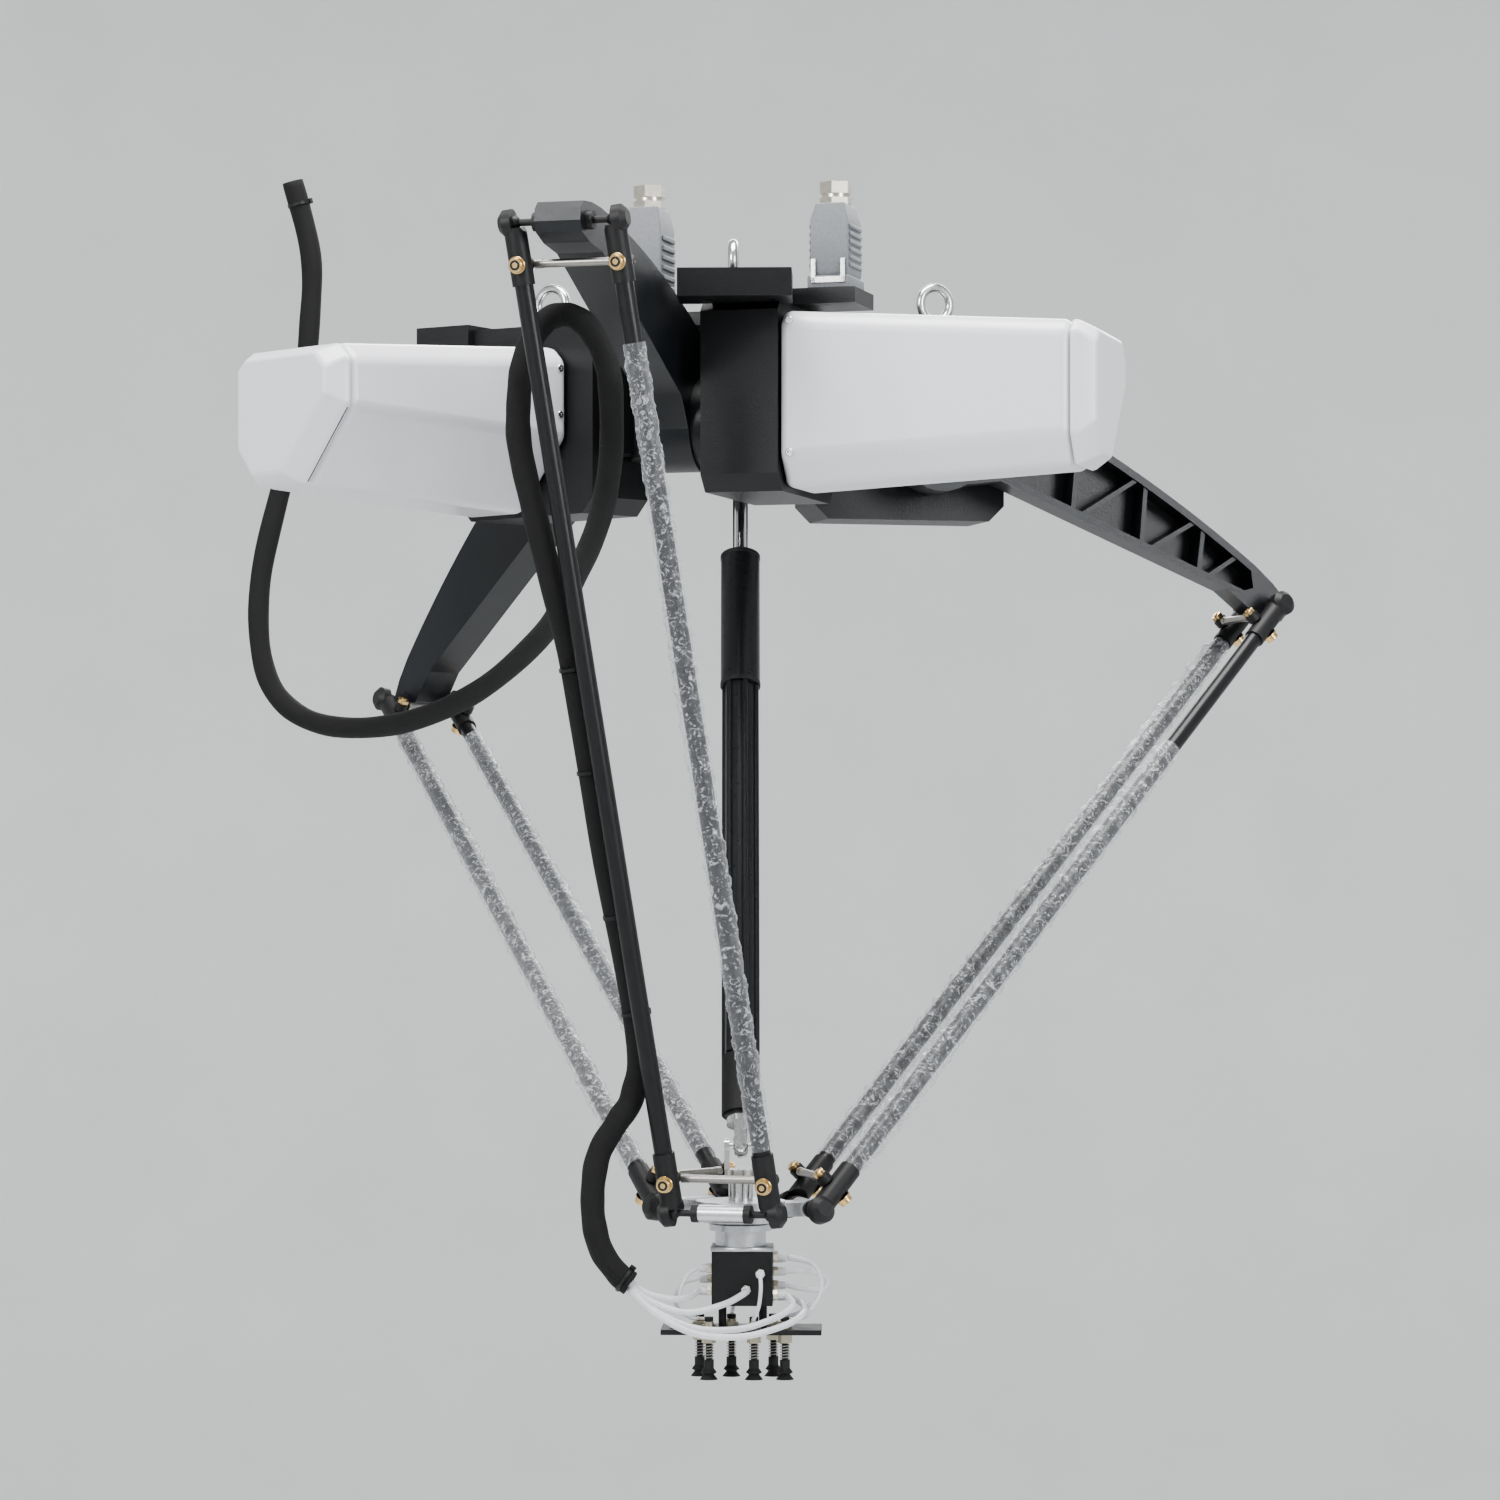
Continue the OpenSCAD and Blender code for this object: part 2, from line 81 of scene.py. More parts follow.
class Arm:
    """Directions and joint points of one arm, in millimetres above the shoulder plane."""

    def __init__(self, degrees):
        a = math.radians(degrees)
        self.out = Vector((math.cos(a), math.sin(a), 0))
        self.axis = Vector((-math.sin(a), math.cos(a), 0))
        self.shoulder = self.out * SHOULDER_R
        self.foot = PLATFORM + self.out * PLATFORM_R
        gap = self.foot - self.shoulder
        level, drop = gap.dot(self.out), gap.z
        reach = math.hypot(level, drop)
        near = (gap.length_squared + UPPER ** 2 - FOREARM ** 2) / (2 * UPPER)
        self.angle = math.atan2(-drop, level) - math.acos(near / reach)
        self.along = math.cos(self.angle) * self.out + math.sin(self.angle) * DOWN
        self.elbow = self.shoulder + UPPER * self.along
        self.rod = (self.foot - self.elbow).normalized()
        self.across = (self.axis - self.axis.dot(self.rod) * self.rod).normalized()
        self.face = self.rod.cross(self.across)

    def at(self, r, t, z):
        """Point at radius r, distance t along the shoulder axis and height z."""
        return row(self.out * r + self.axis * t + UP * z)

    def ball(self, side):
        return self.elbow + self.axis * HALF * side

    def on_rod(self, side, x, y, z):
        """Point on a rod: x across the pair, y away from the robot axis, z down the rod."""
        return row(self.ball(side) + self.across * x + self.face * y + self.rod * z)


ARM = {name: Arm(degrees) for name, degrees in ARMS.items()}


def under(x, y, z):
    """A point at a height from the platform centre, in the row frame."""
    return row(PLATFORM + Vector((x, y, z)))


# ---- Materials ----

def material(name, color, rough=0.5, metal=0.0, bump=0.0, scale=200.0, spread=0.08, coat=0.0, alpha=1.0):
    """A procedural surface: noise varies its colour and roughness a little, and may bump it."""
    m = bpy.data.materials.new(name)
    m.use_nodes = True
    nodes, links = m.node_tree.nodes, m.node_tree.links
    shader = nodes["Principled BSDF"]
    shader.inputs["Metallic"].default_value = metal
    shader.inputs["Coat Weight"].default_value = coat
    shader.inputs["Alpha"].default_value = alpha
    where = nodes.new("ShaderNodeTexCoord")
    noise = nodes.new("ShaderNodeTexNoise")
    noise.inputs["Scale"].default_value = scale
    noise.inputs["Detail"].default_value = 4.0
    links.new(where.outputs["Object"], noise.inputs["Vector"])
    ramp = nodes.new("ShaderNodeValToRGB")
    ramp.color_ramp.elements[0].position = 0.3
    ramp.color_ramp.elements[1].position = 0.7
    ramp.color_ramp.elements[0].color = [c * (1 - spread) for c in color] + [1]
    ramp.color_ramp.elements[1].color = [min(1, c * (1 + spread)) for c in color] + [1]
    links.new(noise.outputs["Fac"], ramp.inputs["Fac"])
    links.new(ramp.outputs["Color"], shader.inputs["Base Color"])
    span = nodes.new("ShaderNodeMapRange")
    span.inputs["To Min"].default_value = max(0.02, rough - 0.07)
    span.inputs["To Max"].default_value = min(1.0, rough + 0.07)
    links.new(noise.outputs["Fac"], span.inputs["Value"])
    links.new(span.outputs["Result"], shader.inputs["Roughness"])
    if bump:
        up = nodes.new("ShaderNodeBump")
        up.inputs["Strength"].default_value = bump
        up.inputs["Distance"].default_value = 0.0006
        links.new(noise.outputs["Fac"], up.inputs["Height"])
        links.new(up.outputs["Normal"], shader.inputs["Normal"])
    return m


def braid_material(name, color, turns=260.0):
    """Crossed diagonal bands, as on a braided cable sleeve."""
    m = material(name, color, rough=0.75, bump=0.4, scale=900.0, spread=0.3)
    nodes, links = m.node_tree.nodes, m.node_tree.links
    shader = nodes["Principled BSDF"]
    where = nodes.new("ShaderNodeTexCoord")
    height = None
    for tilt in (0.8, -0.8):
        turn = nodes.new("ShaderNodeMapping")
        turn.inputs["Rotation"].default_value = (tilt, tilt, 0.4)
        wave = nodes.new("ShaderNodeTexWave")
        wave.inputs["Scale"].default_value = turns
        links.new(where.outputs["Object"], turn.inputs["Vector"])
        links.new(turn.outputs["Vector"], wave.inputs["Vector"])
        if height is None:
            height = wave
            continue
        both = nodes.new("ShaderNodeMath")
        both.operation = "MULTIPLY"
        links.new(height.outputs["Fac"], both.inputs[0])
        links.new(wave.outputs["Fac"], both.inputs[1])
        up = nodes.new("ShaderNodeBump")
        up.inputs["Strength"].default_value = 0.8
        up.inputs["Distance"].default_value = 0.0008
        links.new(both.outputs["Value"], up.inputs["Height"])
        links.new(up.outputs["Normal"], shader.inputs["Normal"])
    return m


def film_material():
    """Thin clear film: painted white glints where it is creased, a painted sheen where it is seen edge-on,
    see-through elsewhere.
    """
    m = material("rod_film", (0.74, 0.76, 0.79), rough=0.2, bump=0.9, scale=80.0, spread=0.15)
    nodes, links = m.node_tree.nodes, m.node_tree.links
    shader = nodes["Principled BSDF"]
    where = nodes.new("ShaderNodeTexCoord")
    # Painted glints: noise makes patches of the white film opaque, in place of light caught in its creases.
    noise = nodes.new("ShaderNodeTexNoise")
    noise.inputs["Scale"].default_value = 120.0
    noise.inputs["Detail"].default_value = 5.0
    noise.inputs["Distortion"].default_value = 2.2
    links.new(where.outputs["Object"], noise.inputs["Vector"])
    ramp = nodes.new("ShaderNodeValToRGB")
    for element, (place, level) in zip(ramp.color_ramp.elements, ((0.52, 0.1), (0.68, 0.6))):
        element.position = place
        element.color = (level, level, level, 1)
    links.new(noise.outputs["Fac"], ramp.inputs["Fac"])
    # Painted sheen: the film grows more opaque, and so whiter, where it is seen edge-on, in place of its
    # reflection.
    edge = nodes.new("ShaderNodeLayerWeight")
    edge.inputs["Blend"].default_value = 0.25
    both = nodes.new("ShaderNodeMath")
    both.operation = "MULTIPLY_ADD"
    both.inputs[1].default_value = 0.45
    both.use_clamp = True
    links.new(edge.outputs["Facing"], both.inputs[0])
    links.new(ramp.outputs["Color"], both.inputs[2])
    links.new(both.outputs["Value"], shader.inputs["Alpha"])
    return m


# Every surface, by the short name that the pieces use.
MAT = {
    "cast": material("cast_black", (0.009, 0.0095, 0.011), rough=0.42, bump=0.35, scale=420.0, spread=0.2),
    "arm": material("arm_black", (0.011, 0.013, 0.016), rough=0.36, bump=0.25, scale=380.0, spread=0.2),
    "cover": material("cover_white", (0.78, 0.79, 0.83), rough=0.32, bump=0.08, scale=500.0, spread=0.02,
                      coat=0.2),
    "hood": material("hood_grey", (0.2, 0.21, 0.225), rough=0.45, bump=0.2, scale=500.0, spread=0.12),
    "nickel": material("gland_nickel", (0.66, 0.62, 0.54), rough=0.3, metal=1.0, scale=300.0),
    "steel": material("bright_steel", (0.68, 0.68, 0.68), rough=0.24, metal=1.0, scale=260.0),
    "chrome": material("chrome", (0.82, 0.83, 0.85), rough=0.12, metal=1.0, scale=150.0, spread=0.03),
    "spring": material("spring_steel", (0.36, 0.35, 0.33), rough=0.38, metal=1.0, scale=300.0),
    "cap": material("hub_cap_steel", (0.3, 0.3, 0.31), rough=0.35, metal=1.0, scale=250.0),
    "brass": material("bolt_brass", (0.72, 0.52, 0.26), rough=0.28, metal=1.0, scale=260.0),
    "carbon": material("carbon_tube", (0.01, 0.01, 0.012), rough=0.35, bump=0.2, scale=800.0, spread=0.3),
    "plastic": material("rod_end_plastic", (0.011, 0.011, 0.012), rough=0.5, bump=0.2, scale=600.0,
                        spread=0.2),
    "tube": material("slide_tube_black", (0.014, 0.015, 0.017), rough=0.3, metal=0.2, scale=300.0,
                     spread=0.2),
    "boot": material("boot_rubber", (0.014, 0.014, 0.014), rough=0.7, bump=0.2, scale=300.0, spread=0.2),
    "alu": material("platform_aluminium", (0.62, 0.63, 0.65), rough=0.34, metal=0.9, bump=0.15, scale=420.0),
    "block": material("manifold_black", (0.012, 0.012, 0.013), rough=0.34, bump=0.1, scale=500.0, spread=0.2),
    "guide": material("guide_metal", (0.6, 0.56, 0.45), rough=0.3, metal=1.0, scale=300.0),
    "rubber": material("cup_rubber", (0.012, 0.012, 0.012), rough=0.6, scale=300.0, spread=0.2),
    "sleeve": braid_material("hose_sleeve", (0.006, 0.006, 0.0065)),
    "film": film_material(),
    "air": material("air_tube", (0.82, 0.84, 0.86), rough=0.18, scale=200.0, spread=0.05, alpha=0.72),
    "fitting": material("fitting_white", (0.72, 0.73, 0.74), rough=0.35, scale=300.0, spread=0.05),
    "tie": material("cable_tie", (0.01, 0.01, 0.01), rough=0.4, scale=300.0, spread=0.2),
    "floor": material("backdrop", (0.88, 0.89, 0.89), rough=0.9, scale=3.0, spread=0.02),
}

# The surface of each CAD node, by how its name starts; the first that fits is taken.
NODE_MATERIAL = [
    ("gearbox", "cast"), ("base_casting", "cast"), ("connector_plates", "cast"), ("arm", "arm"),
    ("hub_cap", "cap"), ("studs", "plastic"), ("platform_studs", "plastic"), ("rod_ends", "plastic"),
    ("rod_", "carbon"), ("link", "spring"), ("cover", "cover"), ("hoods", "hood"), ("glands", "nickel"),
    ("lifting", "steel"), ("drive_ball", "steel"), ("drive_shaft", "chrome"), ("drive_tube", "tube"),
    ("drive_yoke", "steel"), ("drive_boot", "boot"), ("tool_spindle", "steel"), ("tool_flange", "alu"),
    ("manifold", "block"), ("tool_plate", "plastic"), ("cup_guides", "guide"), ("cup_", "rubber"),
    ("platform", "alu"), ("hose", "sleeve"),
]

for name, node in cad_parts.items():
    key = next((key for start, key in NODE_MATERIAL if name.startswith(start)), None)
    if key:
        node.data.materials.clear()
        node.data.materials.append(MAT[key])


# ---- Building pieces ----

AIR_STEPS = 8  # rings between two chosen points of an air tube
FIRST_ACROSS = Vector((0.2, 0.95, 0.3))  # any direction that no line starts along


def around(centre, u, w, radius, sides):
    """Points of a circle in the plane of u and w."""
    turns = [2 * math.pi * i / sides for i in range(sides)]
    return [centre + (u * math.cos(turn) + w * math.sin(turn)) * radius for turn in turns]


def ring_faces(rings, sides, bottom=True, top=True):
    """Faces between rings of points, with or without a closed end."""
    faces = []
    for k in range(rings - 1):
        for i in range(sides):
            j = (i + 1) % sides
            faces.append((k * sides + i, k * sides + j, (k + 1) * sides + j, (k + 1) * sides + i))
    if bottom:
        faces.append(tuple(range(sides - 1, -1, -1)))
    if top:
        faces.append(tuple((rings - 1) * sides + i for i in range(sides)))
    return faces


def add_mesh(name, verts, faces, mat, smooth=True):
    """A new piece from points in metres."""
    mesh = bpy.data.meshes.new(name)
    mesh.from_pydata([tuple(v) for v in verts], [], faces)
    mesh.validate()
    mesh.materials.append(MAT[mat])
    obj = bpy.data.objects.new(name, mesh)
    bpy.context.collection.objects.link(obj)
    if smooth:
        for p in mesh.polygons:
            p.use_smooth = True
    return obj


def bevelled(obj, width, segments=3):
    """Rounds the edges of a flat-faced piece."""
    b = obj.modifiers.new("bevel", "BEVEL")
    b.width = width * MM
    b.segments = segments
    b.limit_method = "ANGLE"
    b.angle_limit = math.radians(25)
    b.harden_normals = True
    return obj


def turned(name, base, direction, profile, mat, sides=32):
    """A round piece: profile is (distance along direction, radius) pairs in millimetres."""
    d = direction.normalized()
    u = d.orthogonal().normalized()
    w = d.cross(u)
    verts = []
    for z, r in profile:
        verts += around(base + d * z * MM, u, w, r * MM, sides)
    obj = add_mesh(name, verts, ring_faces(len(profile), sides), mat, smooth=False)
    for p in obj.data.polygons:
        p.use_smooth = len(p.vertices) == 4 and sides > 8
    obj.data.set_sharp_from_angle(angle=math.radians(35))
    return obj


def prism(name, rings, mat):
    """A flat-faced piece through rings that have the same number of points."""
    verts = [v for ring in rings for v in ring]
    obj = add_mesh(name, verts, ring_faces(len(rings), len(rings[0])), mat)
    bm = bmesh.new()
    bm.from_mesh(obj.data)
    bmesh.ops.recalc_face_normals(bm, faces=bm.faces)
    bm.to_mesh(obj.data)
    bm.free()
    return obj


def rectangle(arm, r, t, z):
    """Corners at height z of a rectangle between the (low, high) pairs r and t in an arm's frame."""
    return [arm.at(a, b, z) for a, b in ((r[0], t[0]), (r[1], t[0]), (r[1], t[1]), (r[0], t[1]))]


def box_piece(name, arm, r, t, z, mat, width=2.0):
    """A rounded box between the (low, high) pairs r, t and z in an arm's frame."""
    return bevelled(prism(name, [rectangle(arm, r, t, z[0]), rectangle(arm, r, t, z[1])], mat), width)


def joined(name, objs):
    """Joins pieces that share a body into one."""
    bpy.ops.object.select_all(action="DESELECT")
    for o in objs:
        o.select_set(True)
    bpy.context.view_layer.objects.active = objs[0]
    bpy.ops.object.join()
    objs[0].name = name
    return objs[0]


def smooth_path(points, steps):
    """Catmull-Rom curve through the points."""
    p = [Vector(q) for q in points]
    path = []
    for i in range(len(p) - 1):
        a, b, c, d = p[max(i - 1, 0)], p[i], p[i + 1], p[min(i + 2, len(p) - 1)]
        for j in range(steps):
            t = j / steps
            square, cube = (2 * a - 5 * b + 4 * c - d) * t ** 2, (3 * b - a - 3 * c + d) * t ** 3
            path.append(0.5 * (2 * b + (c - a) * t + square + cube))
    return path + [p[-1]]


def way_at(line, i):
    """The direction of a line at one of its points."""
    return (line[min(i + 1, len(line) - 1)] - line[max(i - 1, 0)]).normalized()


def across_at(line):
    """For each point of a line, a direction across it, carried along without twisting."""
    across, result = FIRST_ACROSS, []
    for i in range(len(line)):
        way = way_at(line, i)
        across = (across - way * across.dot(way)).normalized()
        result.append(across)
    return result


def tube(name, line, radius, mat, sides=16, first=0, last=None, uneven=0.0):
    """A closed tube of a radius in millimetres round line[first] to line[last], in the row frame."""
    last = len(line) - 1 if last is None else last
    across = across_at(line)
    verts = []
    for i in range(first, last + 1):
        way = way_at(line, i)
        swell = uneven * (math.sin(i * 0.9) + 0.8 * math.sin(i * 0.37))
        verts += around(line[i], across[i], way.cross(across[i]), (radius + swell) * MM, sides)
    return add_mesh(name, verts, ring_faces(last - first + 1, sides), mat)


def air_tube(name, points, radius, sides):
    """A clear tube along a smooth path between two fittings."""
    line = smooth_path(points, AIR_STEPS)
    made = tube(name, line, radius, "air", sides)
    return made


# ---- Base pieces ----

# Sections of a motor cover: distance along the shoulder axis, inner and outer radius, bottom and top.
COVER_START = (130.4, 133.5, 312.5, -74, 105)
COVER_SEAM = (426, 136.5, 309.5, -57.5, 87.5)
COVER_CAP_START = (426.6, 136.5, 309.5, -57.5, 87.5)
COVER_CAP_EDGE = (434, 138, 308, -56, 86)
COVER_CAP_END = (452.6, 151, 297, -45, 77)
SCREW_AT = 141  # the cover screws' distance along the shoulder axis
OUTER_SCREWS = (311.8, (93, -40))  # radius where they start, and their heights
INNER_SCREWS = (134.6, (80, 30))
SCREW_PROFILE = [(0, 4), (1.6, 4), (2.2, 3.4), (2.2, 1.8), (1.2, 1.8)]


def cover_ring(arm, t, inner, outer, bottom, top):
    """A section of a cover: cut corners, and a long slope at the lower inner side."""
    return [arm.at(r, t, z) for r, z in (
        (outer - 14, top), (outer, top - 12), (outer, bottom + 30), (outer - 24, bottom),
        (inner + 70, bottom), (inner, bottom + 78), (inner, top - 16), (inner + 18, top))]


def cover_piece(name, arm, sections, edge):
    """A part of a cover through some of its sections, with rounded edges."""
    shell = prism(name, [cover_ring(arm, *values) for values in sections], "cover")
    bevelled(shell, edge, 5)
    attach(shell, "base")
    return shell


def build_covers():
    """The white shell of each motor cover, its end cap and its screws."""
    for name, arm in ARM.items():
        shell = cover_piece("cover_shell_" + name, arm, (COVER_START, COVER_SEAM), 9)
        cover_piece("cover_end_" + name, arm, (COVER_CAP_START, COVER_CAP_EDGE, COVER_CAP_END), 7)
        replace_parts(shell, "cover_" + name)
        screws = []
        for (r, heights), way in ((OUTER_SCREWS, arm.out), (INNER_SCREWS, -arm.out)):
            for z in heights:
                screws.append(turned("screw", arm.at(r, SCREW_AT, z), way, SCREW_PROFILE, "steel", 20))
        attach(joined("cover_screws_" + name, screws), "base")


# Each hood's corner (radius, along the shoulder axis, height), its length and its height.
HOODS = [(193, 144, 131, 62, 88), (167, -64, 115.3, 56, 112)]
HOOD_WIDE = 44
HOOD_RIBS = 6
LEVER_THICK = 1.6
LEVER_ARM_WIDE = 5


def hood_body(arm, r, t, z, long, tall):
    """A lip, a body that narrows at its shoulders, and ribs to grip on both sides."""
    across = (t, t + HOOD_WIDE)
    lip = z + 0.15 * tall

    def ring(inset, level):
        return rectangle(arm, (r + inset, r + long - inset), (t + inset, t + HOOD_WIDE - inset), level)

    body = prism("hood", [
        ring(3.4, lip), ring(2, lip + 5), ring(2.4, z + 0.8 * tall), ring(7, z + tall)], "hood")
    parts = [box_piece("hood_lip", arm, (r, r + long), across, (z + 0.3, lip), "hood", 2)]
    parts.append(bevelled(body, 2.5))
    for k in range(HOOD_RIBS):
        level = lip + 9 + k * 0.09 * tall
        for side in (-0.2, HOOD_WIDE - 2.6):
            parts.append(box_piece("hood_rib", arm, (r + 8, r + long - 8), (t + side, t + side + 2.8),
                                   (level, level + 0.05 * tall), "hood", 0.8))
    return parts


def hood_lever(arm, r, t, z, long, tall):
    """The wire lever that locks a hood: a bar and two short arms at each end."""
    parts = []
    bottom = z + 0.06 * tall
    for side in (-LEVER_THICK, long):
        thick = (r + side, r + side + LEVER_THICK)
        parts.append(box_piece("lever", arm, thick, (t + 4, t + HOOD_WIDE - 4),
                               (bottom, z + 0.13 * tall), "steel", 0.6))
        for at in (t + 4, t + HOOD_WIDE - 4 - LEVER_ARM_WIDE):
            parts.append(box_piece("lever_arm", arm, thick, (at, at + LEVER_ARM_WIDE),
                                   (bottom, z + 0.34 * tall), "steel", 0.6))
    return parts


def build_hoods():
    """Both connector hoods with their levers."""
    arm = ARM["a"]
    parts, levers = [], []
    for place in HOODS:
        parts += hood_body(arm, *place)
        levers += hood_lever(arm, *place)
    hood = joined("connector_hoods", parts)
    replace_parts(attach(hood, "base"), "hoods")
    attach(joined("hood_levers", levers), "base")


# ---- Rods ----

# Arm, side of the pair and body of each rod.
RODS = [
    ("a", -1, "rods_a"), ("a", 1, "rods_a"), ("b", -1, "rod_b1"), ("b", 1, "rod_b2"),
    ("c", -1, "rod_c1"), ("c", 1, "rod_c2"),
]
BOLT_HEIGHTS = (40, FOREARM - 31)  # distance down the rod of its two through bolts
BOLT_FACE, BOLT_BACK = 10.9, -20.2  # where the head and the nut bear on the rod end


def rod_label(name, side):
    """a1 and a2 for the two rods of arm a, and so on."""
    return f"{name}{1 if side < 0 else 2}"


def rod_bolt(arm, side, z):
    """A brass through bolt with a washer, a recessed head and a nut; the recess is not cut but is a black
    disc of painted shade.
    """
    face = arm.face
    head = arm.on_rod(side, 0, BOLT_FACE, z)
    back = arm.on_rod(side, 0, BOLT_BACK, z)
    top = head + face * 7.1 * MM
    nut = [(0, 6.336), (0.5, 6.6), (4.6, 6.6), (5.2, 5.94)]
    return [
        turned("washer", head, face, [(0, 8.4), (1.6, 8.4), (2, 8)], "brass", 32),
        turned("head", head, face, [(1.6, 7), (6.6, 7), (7.1, 6.4)], "brass", 32),
        # Painted shade: a thin black disc on top of the head stands in for the dark inside its recess.
        turned("recess", top, face, [(-0.2, 4.9), (0.15, 4.9)], "plastic", 24),
        turned("pin", top, face, [(0, 2.7), (0.5, 2.7), (0.8, 2.3)], "brass", 24),
        turned("nut", back, -face, nut, "brass", 6),
        turned("tip", back - face * 5.2 * MM, -face, [(0, 3), (1.5, 2.6)], "brass", 20),
    ]


def build_rod_bolts():
    """Two through bolts on every rod."""
    for name, side, body in RODS:
        parts = []
        for z in BOLT_HEIGHTS:
            parts += rod_bolt(ARM[name], side, z)
        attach(joined("rod_bolts_" + rod_label(name, side), parts), body)


# Where the film starts and ends, down each wrapped rod.
FILM_SPANS = {"a2": (118.0, 905.0), "b1": (84.0, 892.0), "b2": (70.0, 905.0), "c1": (250.0, 910.0),
              "c2": (64.0, 905.0)}
FILM_SIDES = 30
FILM_RINGS = 230
FILM_R = 10.9
FILM_HUG = 0.35  # how loose the film is in its last rings


def film_radius(z, turn, slack, phase):
    """Radius of the film: a spiral overlap, creases at two scales and a loose flap that winds round."""
    lap = math.sin(z / 11.0 + turn / 2 + phase) ** 10 * 1.5
    crease = math.sin(z * 0.42 + 2 * turn + 2.3 * math.sin(z * 0.047 + phase)) * 0.55
    fine = math.sin(z * 0.93 + 3 * turn + 1.9 * math.sin(turn * 2 + z * 0.13)) * 0.4
    flap = 2.2 * max(0.0, math.cos(turn - z / 160.0 - phase)) ** 12
    return FILM_R + slack * (lap + crease + fine + flap)


def build_films():
    """Clear film wound round every rod but the front left one."""
    for phase, (name, side, body) in enumerate(RODS[1:]):
        arm = ARM[name]
        label = rod_label(name, side)
        start, end = FILM_SPANS[label]
        loose = 1.5 if name == "c" else 1.0
        verts = []
        for k in range(FILM_RINGS):
            z = start + (end - start) * k / (FILM_RINGS - 1)
            slack = loose if 3 < k < FILM_RINGS - 4 else FILM_HUG
            for i in range(FILM_SIDES):
                turn = 2 * math.pi * i / FILM_SIDES
                way = arm.across * math.cos(turn) + arm.face * math.sin(turn)
                verts.append(row(arm.ball(side) + arm.rod * z + way * film_radius(z, turn, slack, phase)))
        faces = ring_faces(FILM_RINGS, FILM_SIDES, bottom=False, top=False)
        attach(add_mesh("rod_film_" + label, verts, faces, "film"), body)


# ---- Drive ----

COLLAR_RINGS = (213, 366)  # distance down the shaft of the rings round the collar's two ends
RING_PROFILE = [(-0.6, 19.6), (0.2, 21), (4, 21), (4.8, 20.2)]
BARS = 6
BARS_TURNED = 12  # degrees
BARS_FROM = 369  # distance down the shaft where the bars start
BARS_SHORT = 97  # how far above the foot pivot they end
BARS_CIRCLE = 16.4
BAR_R = 3.2


def build_drive():
    """Bars along the sliding tube, and a ring at each end of its collar."""
    shaft = DRIVE_FOOT - DRIVE_TOP
    d = shaft.normalized()
    u = FRONT.cross(d).normalized()
    w = d.cross(u)
    long = shaft.length - BARS_FROM - BARS_SHORT
    parts = []
    for i in range(BARS):
        turn = math.radians(360 / BARS * i + BARS_TURNED)
        start = DRIVE_TOP + d * BARS_FROM + (u * math.cos(turn) + w * math.sin(turn)) * BARS_CIRCLE
        parts.append(turned("bar", row(start), d, [(0, BAR_R), (long, BAR_R)], "tube", 16))
    for at in COLLAR_RINGS:
        parts.append(turned("ring", row(DRIVE_TOP + d * at), d, RING_PROFILE, "plastic", 48))
    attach(joined("drive_bars", parts), "drive_tube")


# ---- Gripper ----

# Each cup's place from the platform centre, and the side that its barb points to.
CUPS = [(-41, 14), (-31, -16), (-9.5, 12), (13.5, -16), (32, 14), (44, -14)]
CUP_SIDE = [LEFT, LEFT, REAR, FRONT, RIGHT, RIGHT]
SPRING_FOOT = -147.4  # height from the platform centre
BARB_AT = -107.6  # height from the platform centre
STEM_R = 3
BARB_PROFILE = [(0, 1.9), (6, 1.9), (6.4, 2.4), (8, 2.4), (8.6, 1.8), (9, 1.8)]
SPRING_R, SPRING_WIRE_R = 4.4, 0.55
SPRING_LONG, SPRING_TURNS = 15.6, 5.5
CUP_TUBE_R = 2.0
# A tube for each cup, from the end of its barb to the block.
CUP_TUBES = [
    [(-51, 14, -107.6), (-60, 13, -104), (-66, 10, -90), (-57, 6, -75), (-42, 4, -70)],
    [(-41, -16, -107.6), (-52, -17, -104), (-60, -16, -86), (-53, -13, -66), (-42, -11, -58)],
    [(-9.5, 22, -107.6), (-9, 34, -104), (-6, 44, -88), (-2, 43, -72), (0, 37, -66)],
    [(13.5, -26, -107.6), (14, -37, -105), (19, -46, -92), (21, -46, -74), (20, -37, -62)],
    [(42, 14, -107.6), (58, 15, -104), (79, 14, -84), (74, 10, -58), (46, 8, -50)],
    [(54, -14, -107.6), (66, -14, -103), (80, -12, -78), (72, -8, -54), (46, -6, -46)],
]
# Fittings of the block: the way each points and where it starts.
BLOCK_PORTS = [
    (LEFT, -28, 4, -70), (LEFT, -28, -11, -58), (REAR, 0, 24, -66), (FRONT, 20, -24, -62),
    (RIGHT, 32, 8, -50), (RIGHT, 32, -6, -46), (RIGHT, 32, 0, -62), (RIGHT, 32, 6, -76),
    (LEFT, -28, -14, -80), (FRONT, 6, -24, -78), (RIGHT, 32, -14, -84), (RIGHT, 32, 12, -88),
]
# A tube that leaves the block and goes back into it.
BLOCK_LOOP = [(44, 0, -62), (66, 1, -62), (84, 3, -68), (82, 5, -80), (62, 6, -80), (44, 6, -76)]
BLOCK_LOOP_R = 2.6
# Low and high sides of the block's lid, and its bolts.
LID_X, LID_Y, LID_Z = (-29, 33), (-25, 25), (-40.5, -36.05)
LID_BOLT_INSET = 5
LID_BOLT_SUNK = 0.35


def helix(base, radius, height, turns, per_turn=14):
    """Points of an upright coil that starts at base, in the row frame."""
    count = int(turns * per_turn)
    angles = [2 * math.pi * i / per_turn for i in range(count + 1)]
    return [base + Vector((math.cos(a) * radius, math.sin(a) * radius, height * i / count)) * MM
            for i, a in enumerate(angles)]


